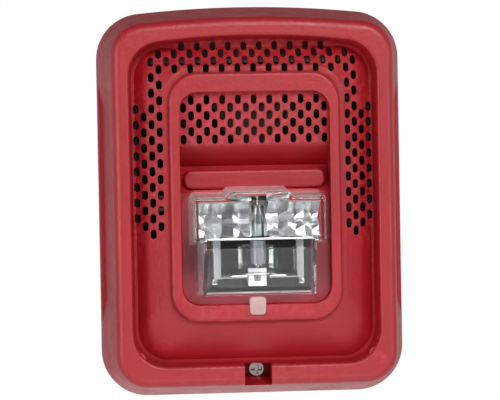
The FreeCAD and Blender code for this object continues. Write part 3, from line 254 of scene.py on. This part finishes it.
def clear(name, tint, rough, ior, ripple, grain, painted_light_haze=0.0):
    """Clear moulded plastic or glass that lets lamp light straight through; a cloudy diffuse share of the
    tint clouds it, and that share is painted light on the lens.
    """
    t = Tree(name)
    glass = t.node("ShaderNodeBsdfPrincipled")
    clearness = 1.0
    if painted_light_haze:
        clearness = t.span(t.noise(300.0, 4.0), 0.3, 0.7, 1.0 - painted_light_haze * 1.1, 1.0 - painted_light_haze * 0.9)
    t.link(opaque(tint), glass.inputs["Base Color"])
    t.link(clearness, glass.inputs["Transmission Weight"])
    t.link(ior, glass.inputs["IOR"])
    t.link(t.span(t.noise(210.0, 4.0), 0.35, 0.8, rough, rough + 0.05), glass.inputs["Roughness"])
    t.link(t.bump(t.noise(grain, 2.0), ripple, 0.0002), glass.inputs["Normal"])
    open_way = t.node("ShaderNodeBsdfTransparent")
    t.link(opaque(tint), open_way.inputs["Color"])
    mix = t.node("ShaderNodeMixShader")
    t.link(t.node("ShaderNodeLightPath").outputs["Is Shadow Ray"], mix.inputs[0])
    t.link(glass.outputs[0], mix.inputs[1])
    t.link(open_way.outputs[0], mix.inputs[2])
    t.link(mix.outputs[0], t.out.inputs["Surface"])
    return t.material


MATERIALS = {
    "red": housing_red(),
    "lens": clear("clear_plastic", (0.97, 0.985, 0.985), 0.01, 1.49, 0.05, 140.0),
    # Painted light: the flange's pink tint and cloudy diffuse share stand in for the lit red seat seen
    # through it, and the whitish share on the side walls and top shelf is a painted highlight.
    "lens_flange": clear("clear_flange_painted_light", (0.96, 0.46, 0.52), 0.04, 1.49, 0.08, 140.0, 0.10),
    "lens_edge": clear("clear_edges_painted_highlight", (0.96, 0.93, 0.94), 0.05, 1.49, 0.1, 140.0, 0.26),
    "lens_top": clear("clear_top_painted_light", (0.98, 0.95, 0.95), 0.08, 1.49, 0.1, 140.0, 0.60),
    "glass": clear("tube_glass", (0.78, 0.81, 0.80), 0.02, 1.47, 0.05, 300.0),
    "mirror": metal("metallised", (0.72, 0.72, 0.72), (0.62, 0.62, 0.63), 0.20, 0.05,
                    grain=500.0, strength=0.03, dull=(0.52, 0.52, 0.53)),
    "satin": metal("satin_metal", (0.46, 0.44, 0.45), (0.38, 0.37, 0.38), 0.42, 0.06, grain=500.0,
                   strength=0.05),
    # Painted dark reflection: metal darkened for the reflector's lower bowl, standing in for the dark
    # surroundings it reflects.
    "painted_dark_reflection": metal("metal_painted_dark_reflection", (0.26, 0.27, 0.26), (0.10, 0.12, 0.11), 0.16, 0.06,
                    grain=500.0, strength=0.06),
    "band": plastic("band_grey", (0.165, 0.170, 0.185), (0.125, 0.130, 0.145), 0.32, 0.08),
    "ink": plastic("ink_black", (0.02, 0.02, 0.022), (0.03, 0.03, 0.032), 0.5, 0.05),
    "dark_screw": metal("dark_zinc", (0.10, 0.10, 0.105), (0.06, 0.06, 0.065), 0.35, 0.1),
    "zinc_screw": metal("zinc_screw", (0.46, 0.38, 0.38), (0.34, 0.28, 0.28), 0.34, 0.08),
    "horn_brass": metal("horn_brass", (0.10, 0.075, 0.05), (0.06, 0.05, 0.035), 0.45, 0.1),
    "latch": plastic("latch_plastic", (0.46, 0.30, 0.30), (0.39, 0.24, 0.24), 0.24, 0.06),
    "bright": metal("bright_metal", (0.80, 0.79, 0.77), (0.62, 0.61, 0.60), 0.25, 0.08, (1.0, 6.0, 1.0)),
    "grey_metal": metal("grey_metal", (0.42, 0.42, 0.43), (0.30, 0.30, 0.32), 0.38, 0.10, (5.0, 1.0, 1.0)),
    "black": plastic("black_plastic", (0.022, 0.022, 0.024), (0.035, 0.034, 0.036), 0.42, 0.08),
    "white": plastic("white_plastic", (0.76, 0.76, 0.73), (0.68, 0.68, 0.64), 0.38, 0.06,
                     worn=(0.82, 0.82, 0.80)),
    "grey": plastic("grey_plastic", (0.40, 0.41, 0.43), (0.33, 0.34, 0.36), 0.40, 0.08),
    "board": plastic("board_dark", (0.007, 0.011, 0.008), (0.004, 0.007, 0.005), 0.55, 0.06,
                     grain=2600.0, level=0.2),
    "tape": plastic("tape_white", (0.90, 0.90, 0.91), (0.86, 0.86, 0.87), 0.40, 0.05),
    "brass": metal("brass", (0.75, 0.53, 0.22), (0.58, 0.40, 0.18), 0.28, 0.08, dull=(0.40, 0.30, 0.16)),
    "ceramic": plastic("ceramic_grey", (0.55, 0.53, 0.48), (0.47, 0.45, 0.41), 0.55, 0.06),
    "ferrite": plastic("ferrite", (0.060, 0.058, 0.060), (0.040, 0.038, 0.040), 0.48, 0.08),
    "rubber": plastic("rubber_black", (0.028, 0.028, 0.028), (0.040, 0.039, 0.038), 0.70, 0.08,
                      grain=700.0),
    "copper": metal("copper_zinc", (0.72, 0.42, 0.28), (0.55, 0.33, 0.22), 0.30, 0.08, (6.0, 1.0, 1.0)),
}

FINISH = {
    "front_housing": "red", "strobe_lens": "lens", "lens_latch": "latch", "reflector": "mirror",
    "flash_tube": "glass", "trigger_band": "band", "tube_electrodes": "bright",
    "rear_cover": "grey", "circuit_board": "board", "cover_screws": "grey_metal",
    "board_screws": "grey_metal", "captive_screw": "zinc_screw", "screw_clip": "white",
    "horn_chamber": "black", "horn_gasket": "rubber", "piezo_disc": "horn_brass",
    "piezo_ceramic": "ferrite", "piezo_springs": "dark_screw", "brightness_rails": "black",
    "brightness_slider": "white", "tone_switch_body": "black", "tone_dial": "white",
    "contact_blades": "brass", "contact_header": "black", "flash_capacitor": "black",
    "trigger_transformer": "ferrite", "power_inductor": "copper", "microcontroller": "black",
    "small_components": "ceramic", "mounting_plate": "white", "terminal_block": "black",
    "terminal_contacts": "copper", "terminal_washers": "bright", "terminal_screw_1": "bright",
    "terminal_screw_2": "bright", "terminal_screw_3": "bright", "terminal_screw_4": "bright",
    "shorting_spring": "copper",
}
for node_name, finish_name in FINISH.items():
    for material_slot in NODES[node_name].material_slots:
        material_slot.material = MATERIALS[finish_name]

# ---------------------------------------------------------------- mesh helpers

MM = 0.001
WELD = 0.00001
FLAT_ANGLE = math.radians(1.5)
EDGE_ANGLE = math.radians(28.0)
# A face larger than this, in square metres, is shaded flat.
LARGE_FACE = 8e-6


def add_object(name, mesh, body, *stands_for, slot=None):
    """Shows a mesh on a CAD body, in place of the nodes it stands for."""
    made = bpy.data.objects.new(name, mesh)
    bpy.context.scene.collection.objects.link(made)
    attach(made, body)
    if stands_for:
        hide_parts(*stands_for)
    return made


def bmesh_to(name, shape, finishes):
    """Turns a bmesh into a mesh whose material slots hold the given finishes."""
    shape.normal_update()
    mesh = bpy.data.meshes.new(name)
    shape.to_mesh(mesh)
    shape.free()
    for finish in finishes:
        mesh.materials.append(MATERIALS[finish])
    return mesh


def soften(shape, edges, width):
    """Rounds edges with a narrow two-step bevel of a width in metres."""
    return bmesh.ops.bevel(shape, geom=edges, offset=width, offset_type="OFFSET", segments=2, profile=0.6,
                           affect="EDGES", clamp_overlap=True)


def refined_copy(node, width):
    """A copy of a CAD node's mesh, welded, cleaned of flat triangles and with softened edges."""
    shape = bmesh.new()
    shape.from_mesh(NODES[node].data)
    bmesh.ops.remove_doubles(shape, verts=shape.verts, dist=WELD)
    bmesh.ops.dissolve_limit(shape, angle_limit=FLAT_ANGLE, verts=shape.verts, edges=shape.edges)
    sharp = [e for e in shape.edges if len(e.link_faces) == 2 and e.calc_face_angle(0.0) > EDGE_ANGLE]
    soften(shape, sharp, width)
    for face in shape.faces:
        face.smooth = face.calc_area() < LARGE_FACE
    return shape


def height_sheet(shape, columns, rows, depth, slot_index):
    """Faceted sheet: a grid over x and z in millimetres, pushed forward by depth(x, z), slots by x."""
    grid = [[shape.verts.new((x * MM, -depth(x, z) * MM, z * MM)) for x in columns] for z in rows]
    for j in range(len(rows) - 1):
        for i in range(len(columns) - 1):
            corners = (grid[j][i], grid[j][i + 1], grid[j + 1][i + 1], grid[j + 1][i])
            face = shape.faces.new(corners)
            face.material_index = slot_index(0.5 * (columns[i] + columns[i + 1]))


def box_piece(shape, x, depth, z, chamfer, slot_index):
    """Closed block with softened edges between millimetre pairs x, depth from the wall, and z."""
    corners = [shape.verts.new((a * MM, -b * MM, c * MM)) for a in x for b in depth for c in z]
    quads = ((0, 1, 3, 2), (4, 6, 7, 5), (0, 4, 5, 1), (2, 3, 7, 6), (0, 2, 6, 4), (1, 5, 7, 3))
    faces = [shape.faces.new([corners[k] for k in quad]) for quad in quads]
    bmesh.ops.recalc_face_normals(shape, faces=faces)
    edges = list({e for f in faces for e in f.edges})
    made = soften(shape, edges, chamfer * MM)
    touched = set(made["faces"]) | {f for v in made["verts"] for f in v.link_faces}
    for face in touched:
        face.material_index = slot_index


def spread(low, high, count):
    """Evenly spaced values from low to high."""
    return [low + (high - low) * k / (count - 1) for k in range(count)]


# ---------------------------------------------------------------- reflector

FACET_FINISHES = ("mirror", "painted_dark_reflection", "satin")
RIB_FINISHES = ("mirror", "painted_dark_reflection", "black", "tape", "satin")

# Upper bank: how far each column line and each row line stands forward. Their sum keeps the facets
# on both sides of the tube's way flat.
BANK_X = {-21.2: 2.0, -18.8: 0.8, -16.2: 1.5, -12.9: 0.2, -8.8: 1.1, -6.6: 0.0, -3.4: 0.7, -3.2: 0.0,
          3.2: 0.0, 3.4: 0.5, 7.0: -0.4, 10.3: 0.9, 13.0: 0.0, 16.2: 1.5, 18.8: 0.9, 21.2: 2.0}
BANK_Z = {-12.3: 43.0, -10.4: 37.4, -8.2: 38.3, -6.0: 33.6, -4.0: 34.8, -2.0: 38.2, 0.4: 43.2}
# Half width of the dished way behind the tube, its middle height and its depth there.
TUBE_WAY = 3.3
TUBE_MIDDLE = -6.1
TUBE_DEPTH = 30.6
# Two crests stand on the bank's top edge, one on either side of the tube.
CREST_X = (2.6, 10.4)
CREST_Z = (0.5, 1.4, 2.4)
CREST_DEPTH = 42.8
# Lower bowl: its half width, its foot and top, and its deepest line.
BOWL_HALF = 13.2
BOWL_Z = (-25.6, -12.4)
BOWL_DEPTH = 22.8
SHEET_THICKNESS = 0.6

# Finish, edge width, then the ranges of x, depth and z in millimetres. Side trim is mirrored. The black
# pieces are painted shade: dark sheets where the reflector's inside lies in shade.
SIDE_TRIM = {
    "upright_bar": ("satin", 0.35, (13.3, 15.8), (24.0, 37.6), (-26.6, -12.3)),
    "shade_beside_bar": ("black", 0.3, (15.6, 18.3), (20.9, 23.0), (-30.6, -12.3)),
    "bar_foot": ("mirror", 0.7, (14.2, 16.4), (23.5, 34.0), (-28.9, -26.7)),
    "bowl_lip": ("mirror", 0.25, (3.9, 13.3), (21.0, 35.4), (-26.5, -25.6)),
    "shade_under_bowl": ("black", 0.3, (3.9, 13.9), (20.9, 23.0), (-30.6, -26.8)),
    "shade_back_wing": ("black", 0.2, (3.2, 20.2), (19.7, 20.7), (-30.8, 1.0)),
    "bank_foot": ("mirror", 0.3, (18.8, 20.6), (27.5, 42.5), (-13.2, -12.3)),
}
MIDDLE_TRIM = {
    "shade_back_upper": ("black", 0.2, (-3.1, 3.1), (19.7, 20.7), (-23.8, 1.0)),
    "shade_back_lower": ("black", 0.2, (-3.1, 3.1), (19.7, 20.7), (-30.8, -29.5)),
    "crossbar": ("mirror", 0.25, (-18.7, 18.7), (42.6, 44.4), (-13.1, -12.4)),
    "window_left": ("tape", 0.12, (-3.2, -1.2), (28.6, 30.4), (-29.6, -23.4)),
    "window_right": ("tape", 0.12, (1.2, 3.2), (28.6, 30.4), (-29.6, -23.4)),
    "window_top": ("tape", 0.12, (-1.3, 1.3), (28.6, 30.4), (-25.2, -23.4)),
    "window_foot": ("tape", 0.12, (-1.3, 1.3), (28.6, 30.4), (-29.6, -28.0)),
}


def bank_depth(x, z):
    """Upper bank: a faceted trough across the whole width, with a clear way for the tube."""
    if abs(x) < TUBE_WAY:
        return TUBE_DEPTH + 0.04 * (z - TUBE_MIDDLE) ** 2
    return BANK_X[x] + BANK_Z[z]


def bank_slot(x):
    return FACET_FINISHES.index("satin" if abs(x) < TUBE_WAY else "mirror")


def crest_depth(x, z):
    return CREST_DEPTH + 0.6 * math.sin(x * 2.0 + z * 3.0)


def bowl_depth(x, z):
    """Lower bowl: dished between two upright bars, turned forward at its top and along its foot."""
    side = min(max(abs(x) - 3.4, 0.0) / 9.8, 1.0)
    wall = min(max(z + 16.0, 0.0) / 3.6, 1.0)
    foot = min(max(-24.0 - z, 0.0) / 1.6, 1.0)
    return BOWL_DEPTH + 9.5 * side ** 2 + 8.0 * wall ** 2 + 9.0 * foot ** 2


def make_facets():
    """The bright sheet itself: bank, crests and bowl, the bowl in darkened metal as a painted dark
    reflection.
    """
    shape = bmesh.new()
    height_sheet(shape, tuple(BANK_X), tuple(BANK_Z), bank_depth, bank_slot)
    for side in (-1, 1):
        crest = sorted(side * x for x in CREST_X)
        height_sheet(shape, spread(*crest, 4), CREST_Z, crest_depth,
                     lambda x: FACET_FINISHES.index("mirror"))
    height_sheet(shape, spread(-BOWL_HALF, BOWL_HALF, 17), spread(*BOWL_Z, 11), bowl_depth,
                 lambda x: FACET_FINISHES.index("painted_dark_reflection"))
    mesh = bmesh_to("reflector_facets", shape, FACET_FINISHES)
    facets = add_object("reflector_facets", mesh, "head", "reflector", slot="metallised")
    thick = facets.modifiers.new("thickness", "SOLIDIFY")
    thick.thickness = SHEET_THICKNESS * MM
    thick.offset = 1.0


def make_ribs():
    """Bars, lips, the window frame, and black sheets of painted shade behind and beside the bright sheet.
    """
    shape = bmesh.new()
    for side in (-1, 1):
        for finish, chamfer, x, depth, z in SIDE_TRIM.values():
            across = sorted(side * value for value in x)
            box_piece(shape, across, depth, z, chamfer, RIB_FINISHES.index(finish))
    for finish, chamfer, x, depth, z in MIDDLE_TRIM.values():
        box_piece(shape, x, depth, z, chamfer, RIB_FINISHES.index(finish))
    mesh = bmesh_to("reflector_ribs", shape, RIB_FINISHES)
    add_object("reflector_ribs", mesh, "head", "reflector", slot="metallised")


make_facets()
make_ribs()

# ---------------------------------------------------------------- brightness strip

SETTINGS = {-9.0: "15", -4.5: "30", 0.0: "75", 4.5: "95", 9.0: "110"}
DIGIT_PITCH = 1.15
# Which bars make up each digit, and each bar's left, right, bottom and top in millimetres.
SEGMENTS = {
    "0": "abcdef", "1": "bc", "3": "abgcd", "5": "afgcd", "7": "abc", "9": "abcdfg",
}
BARS = {
    "a": (-0.35, 0.35, 0.75, 0.95), "g": (-0.35, 0.35, -0.10, 0.10), "d": (-0.35, 0.35, -0.95, -0.75),
    "b": (0.27, 0.45, 0.0, 0.9), "c": (0.27, 0.45, -0.9, 0.0), "f": (-0.45, -0.27, 0.0, 0.9),
    "e": (-0.45, -0.27, -0.9, 0.0),
}


def make_strip_numbers():
    """Raised setting numbers along the front of the brightness strip."""
    low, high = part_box("brightness_slider")
    front = -low.y / MM
    middle = (low.z + high.z) / (2 * MM)
    shape = bmesh.new()
    for place, text in SETTINGS.items():
        for k, digit in enumerate(text):
            centre = place + (k - (len(text) - 1) / 2) * DIGIT_PITCH
            for name in SEGMENTS[digit]:
                left, right, bottom, top = BARS[name]
                box_piece(shape, (centre + left, centre + right), (front - 0.05, front + 0.03),
                          (middle + bottom, middle + top), 0.01, 0)
    add_object("strip_numbers", bmesh_to("strip_numbers", shape, ("ink",)), "brightness")


make_strip_numbers()

# ---------------------------------------------------------------- lens

# The flange, the outer side walls and the upward-facing top shelf take the clear finishes with painted
# light: a pink cloud for the lit red seat behind the flange, and a whitish painted highlight on the walls
# and shelf.
LENS_FINISHES = ("lens", "lens_flange", "lens_edge", "lens_top")
LENS_HEART = Vector((0.0, -0.037, -0.009))
LENS_EDGE = 0.35 * MM
# The flange is everything behind this plane.
FLANGE_FRONT = -0.0270


def lens_finish(face):
    """Flange, outer side walls, the shelf on top, or the clear front and inner faces."""
    outward = face.normal.dot(face.center - LENS_HEART) > 0
    if face.center.y > FLANGE_FRONT:
        return "lens_flange"
    if abs(face.normal.y) < 0.35 and outward:
        return "lens_top" if face.normal.z > 0.5 and face.center.z > 0 else "lens_edge"
    return "lens"


def make_lens():
    mesh = bmesh_to("lens_dome", refined_copy("strobe_lens", LENS_EDGE), LENS_FINISHES)
    for face in mesh.polygons:
        face.material_index = LENS_FINISHES.index(lens_finish(face))
    add_object("lens_dome", mesh, "head", "strobe_lens", slot="clear_plastic")


make_lens()

# ---------------------------------------------------------------- floor, world and lights

FLOOR_HALF = 1.5
FLOOR_DROP = 0.40
# Strength of the world's light in front of the object and behind it.
ROOM = 0.16
BACKDROP = 0.6
# Each softbox: its place, the point it faces, its two sides in metres and its watts.
SOFTBOXES = {
    "key": ((0.25, -1.00, 0.62), (0, 0, 0), (0.6, 0.35), 9.4),
    "fill": ((-0.90, -0.75, 0.10), (0, 0, 0), (0.35, 0.6), 5.6),
    "side": ((0.95, -0.70, 0.05), (0, 0, 0), (0.3, 0.5), 3.0),
    "low": ((0.1, -1.00, -0.42), (0, 0, -0.04), (0.6, 0.2), 1.7),
    "rear": ((0.0, 1.3, 0.0), (0, 0, 0), (0.4, 0.4), 8.0),
}


def make_floor():
    """A plain pale floor well below the wall-hung object."""
    mesh = bpy.data.meshes.new("floor")
    half = FLOOR_HALF
    outline = [(-half, -half, 0), (half, -half, 0), (half, half, 0), (-half, half, 0)]
    mesh.from_pydata(outline, [], [(0, 1, 2, 3)])
    floor = bpy.data.objects.new("floor", mesh)
    floor.location = (0, 0, cad_low.z - FLOOR_DROP)
    bpy.context.scene.collection.objects.link(floor)
    t = Tree("floor_paint")
    colour = t.blend(t.noise(3.0), (0.86, 0.86, 0.86), (0.82, 0.82, 0.82))
    t.principled(base_color=colour, roughness=0.8, emission_color=(1.0, 1.0, 1.0), emission_strength=0.22)
    mesh.materials.append(t.material)


def world_strength(nodes, links):
    """Bright behind the object and dim in front, fading towards the zenith."""
    way = nodes.new("ShaderNodeTexCoord")
    parts = nodes.new("ShaderNodeSeparateXYZ")
    links.new(way.outputs["Generated"], parts.inputs[0])
    dim = nodes.new("ShaderNodeMath")
    dim.operation = "MULTIPLY"
    ranges = (("Y", "SMOOTHSTEP", (-0.35, 0.45, ROOM, BACKDROP)), ("Z", "LINEAR", (0.0, 0.8, 1.0, 0.12)))
    for socket, (axis, kind, values) in zip(dim.inputs, ranges):
        ramp = nodes.new("ShaderNodeMapRange")
        ramp.interpolation_type = kind
        links.new(parts.outputs[axis], ramp.inputs["Value"])
        for key, value in zip(("From Min", "From Max", "To Min", "To Max"), values):
            ramp.inputs[key].default_value = value
        links.new(ramp.outputs["Result"], socket)
    return dim.outputs[0]


def make_world():
    """White to the camera; as light, a bright backdrop behind the object and a dimmer room in front."""
    world = bpy.data.worlds.new("studio")
    bpy.context.scene.world = world
    world.use_nodes = True
    nodes, links = world.node_tree.nodes, world.node_tree.links
    nodes.clear()
    seen = nodes.new("ShaderNodeBackground")
    soft = nodes.new("ShaderNodeBackground")
    links.new(world_strength(nodes, links), soft.inputs["Strength"])
    path = nodes.new("ShaderNodeLightPath")
    mix = nodes.new("ShaderNodeMixShader")
    out = nodes.new("ShaderNodeOutputWorld")
    for background in (seen, soft):
        background.inputs["Color"].default_value = (1.0, 1.0, 1.0, 1.0)
    links.new(path.outputs["Is Camera Ray"], mix.inputs[0])
    links.new(soft.outputs[0], mix.inputs[1])
    links.new(seen.outputs[0], mix.inputs[2])
    links.new(mix.outputs[0], out.inputs["Surface"])


def softbox(name, place, aim, size, watts):
    data = bpy.data.lights.new(name, "AREA")
    data.shape = "RECTANGLE"
    data.size, data.size_y = size
    data.energy = watts
    lamp = bpy.data.objects.new(name, data)
    bpy.context.scene.collection.objects.link(lamp)
    lamp.location = place
    lamp.rotation_mode = "QUATERNION"
    lamp.rotation_quaternion = (Vector(aim) - Vector(place)).to_track_quat("-Z", "Y")


make_floor()
make_world()
for lamp_name, settings in SOFTBOXES.items():
    softbox(lamp_name, *settings)
bpy.context.scene.view_settings.view_transform = "Standard"

# ---------------------------------------------------------------- size and end


def corners(pair):
    return [[round(value, 6) for value in corner] for corner in pair]
